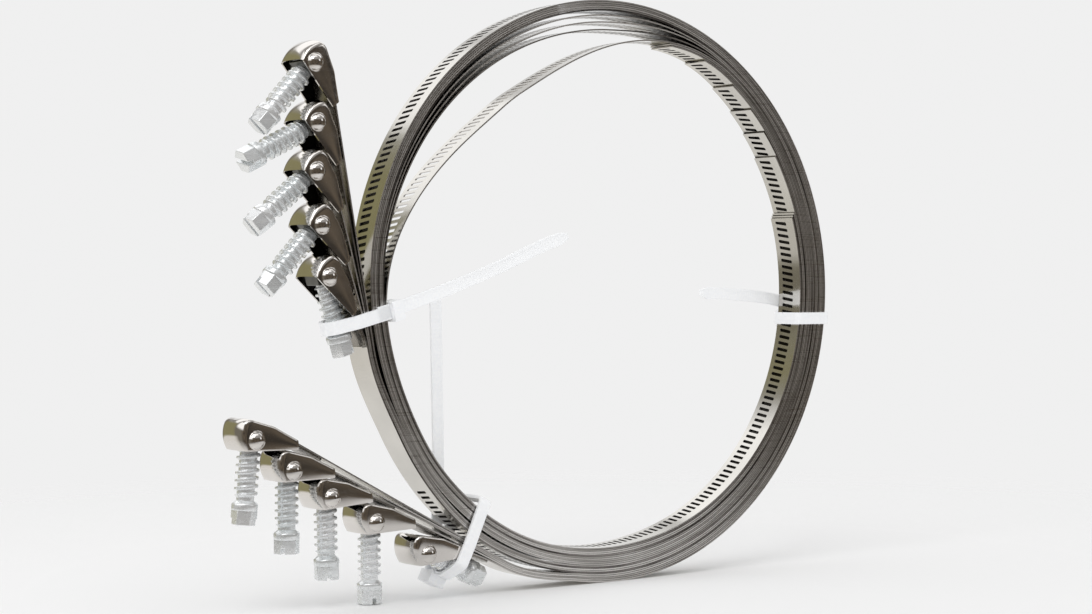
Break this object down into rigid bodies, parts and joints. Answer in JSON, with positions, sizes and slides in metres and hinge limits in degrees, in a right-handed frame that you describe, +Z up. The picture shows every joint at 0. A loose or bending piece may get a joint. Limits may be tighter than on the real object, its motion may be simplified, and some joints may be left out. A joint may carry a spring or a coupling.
{
  "type": "duct clamp bundle",
  "caption": "Bundle of quick-release duct clamps: slotted steel bands wound in one coil with swivel screws, tied with nylon cable ties.",
  "frame": {"origin": "middle of the flat that the coil stands on, straight below the coil's axis", "axes": "+Z up from the surface it stands on, Y along the coil's axis across the bands, +X away from the housings; the housings are at -X"},
  "size_m": [0.2768, 0.0213, 0.2231],
  "materials": {
    "band_steel": "cold-rolled stainless strip, bright, with fine lengthwise grain",
    "saddle_steel": "plain stainless strip",
    "housing_steel": "polished pressed stainless steel",
    "swivel_zinc": "zinc plated block",
    "screw_zinc": "bright zinc plated rolled thread",
    "tie_nylon": "natural nylon, slightly translucent"
  },
  "bodies": {
    "coil": {"band_u1": "band_steel", "saddle_u1": "saddle_steel", "hood_u1": "housing_steel", "band_u2": "band_steel", "saddle_u2": "saddle_steel", "hood_u2": "housing_steel", "band_u3": "band_steel", "saddle_u3": "saddle_steel", "hood_u3": "housing_steel", "band_u4": "band_steel", "saddle_u4": "saddle_steel", "hood_u4": "housing_steel", "band_u5": "band_steel", "saddle_u5": "saddle_steel", "hood_u5": "housing_steel", "band_l1": "band_steel", "saddle_l1": "saddle_steel", "hood_l1": "housing_steel", "band_l2": "band_steel", "saddle_l2": "saddle_steel", "hood_l2": "housing_steel", "band_l3": "band_steel", "saddle_l3": "saddle_steel", "hood_l3": "housing_steel", "band_l4": "band_steel", "saddle_l4": "saddle_steel", "hood_l4": "housing_steel", "band_l5": "band_steel", "saddle_l5": "saddle_steel", "hood_l5": "housing_steel", "tie_left": "tie_nylon", "tie_right": "tie_nylon", "tie_lower": "tie_nylon"},
    "swivel_u1": {"swivel_u1": "swivel_zinc"},
    "screw_u1": {"screw_u1": "screw_zinc"},
    "swivel_u2": {"swivel_u2": "swivel_zinc"},
    "screw_u2": {"screw_u2": "screw_zinc"},
    "swivel_u3": {"swivel_u3": "swivel_zinc"},
    "screw_u3": {"screw_u3": "screw_zinc"},
    "swivel_u4": {"swivel_u4": "swivel_zinc"},
    "screw_u4": {"screw_u4": "screw_zinc"},
    "swivel_u5": {"swivel_u5": "swivel_zinc"},
    "screw_u5": {"screw_u5": "screw_zinc"},
    "swivel_l1": {"swivel_l1": "swivel_zinc"},
    "screw_l1": {"screw_l1": "screw_zinc"},
    "swivel_l2": {"swivel_l2": "swivel_zinc"},
    "screw_l2": {"screw_l2": "screw_zinc"},
    "swivel_l3": {"swivel_l3": "swivel_zinc"},
    "screw_l3": {"screw_l3": "screw_zinc"},
    "swivel_l4": {"swivel_l4": "swivel_zinc"},
    "screw_l4": {"screw_l4": "screw_zinc"},
    "swivel_l5": {"swivel_l5": "swivel_zinc"},
    "screw_l5": {"screw_l5": "screw_zinc"}
  },
  "joints": [
    {"name": "swivel_hinge_u1", "type": "hinge", "parent": "coil", "child": "swivel_u1", "pos_m": [-0.13404, 0, 0.19169], "axis": [0, 1, 0], "range_deg": [-0.5, 42]},
    {"name": "screw_spin_u1", "type": "hinge", "parent": "swivel_u1", "child": "screw_u1", "pos_m": [-0.13293, 0, 0.19068], "axis": [-0.6717, 0, -0.7408], "continuous": true},
    {"name": "swivel_hinge_u2", "type": "hinge", "parent": "coil", "child": "swivel_u2", "pos_m": [-0.13306, 0, 0.17097], "axis": [0, 1, 0], "range_deg": [-14, 0.5]},
    {"name": "screw_spin_u2", "type": "hinge", "parent": "swivel_u2", "child": "screw_u2", "pos_m": [-0.13239, 0, 0.16962], "axis": [-0.8957, 0, -0.4446], "continuous": true},
    {"name": "swivel_hinge_u3", "type": "hinge", "parent": "coil", "child": "swivel_u3", "pos_m": [-0.1334, 0, 0.15398], "axis": [0, 1, 0], "range_deg": [-15, 28]},
    {"name": "screw_spin_u3", "type": "hinge", "parent": "swivel_u3", "child": "screw_u3", "pos_m": [-0.13245, 0, 0.15281], "axis": [-0.7738, 0, -0.6334], "continuous": true},
    {"name": "swivel_hinge_u4", "type": "hinge", "parent": "coil", "child": "swivel_u4", "pos_m": [-0.1313, 0, 0.1352], "axis": [0, 1, 0], "range_deg": [-7, 26]},
    {"name": "screw_spin_u4", "type": "hinge", "parent": "swivel_u4", "child": "screw_u4", "pos_m": [-0.13021, 0, 0.13417], "axis": [-0.6845, 0, -0.729], "continuous": true},
    {"name": "swivel_hinge_u5", "type": "hinge", "parent": "coil", "child": "swivel_u5", "pos_m": [-0.12838, 0, 0.11716], "axis": [0, 1, 0], "range_deg": [-0.5, 0.5]},
    {"name": "screw_spin_u5", "type": "hinge", "parent": "swivel_u5", "child": "screw_u5", "pos_m": [-0.12694, 0, 0.1176], "axis": [0.2974, 0, -0.9548], "continuous": true},
    {"name": "swivel_hinge_l1", "type": "hinge", "parent": "coil", "child": "swivel_l1", "pos_m": [-0.15752, 0, 0.06124], "axis": [0, 1, 0], "range_deg": [-13.5, 28]},
    {"name": "screw_spin_l1", "type": "hinge", "parent": "swivel_l1", "child": "screw_l1", "pos_m": [-0.15602, 0, 0.06111], "axis": [-0.0872, 0, -0.9962], "continuous": true},
    {"name": "swivel_hinge_l2", "type": "hinge", "parent": "coil", "child": "swivel_l2", "pos_m": [-0.14288, 0, 0.05006], "axis": [0, 1, 0], "range_deg": [-11, 20]},
    {"name": "screw_spin_l2", "type": "hinge", "parent": "swivel_l2", "child": "screw_l2", "pos_m": [-0.14138, 0, 0.05005], "axis": [-0.0035, 0, -1], "continuous": true},
    {"name": "swivel_hinge_l3", "type": "hinge", "parent": "coil", "child": "swivel_l3", "pos_m": [-0.12744, 0, 0.03975], "axis": [0, 1, 0], "range_deg": [-17, 18]},
    {"name": "screw_spin_l3", "type": "hinge", "parent": "swivel_l3", "child": "screw_l3", "pos_m": [-0.12594, 0, 0.03979], "axis": [0.0262, 0, -0.9997], "continuous": true},
    {"name": "swivel_hinge_l4", "type": "hinge", "parent": "coil", "child": "swivel_l4", "pos_m": [-0.10911, 0, 0.02979], "axis": [0, 1, 0], "range_deg": [-22, 2]},
    {"name": "screw_spin_l4", "type": "hinge", "parent": "swivel_l4", "child": "screw_l4", "pos_m": [-0.10761, 0, 0.0298], "axis": [0.0087, 0, -1], "continuous": true},
    {"name": "swivel_hinge_l5", "type": "hinge", "parent": "coil", "child": "swivel_l5", "pos_m": [-0.0869, 0, 0.01706], "axis": [0, 1, 0], "range_deg": [-0.4, 1.5]},
    {"name": "screw_spin_l5", "type": "hinge", "parent": "swivel_l5", "child": "screw_l5", "pos_m": [-0.08628, 0, 0.01842], "axis": [0.91, 0, -0.4147], "continuous": true}
  ]
}
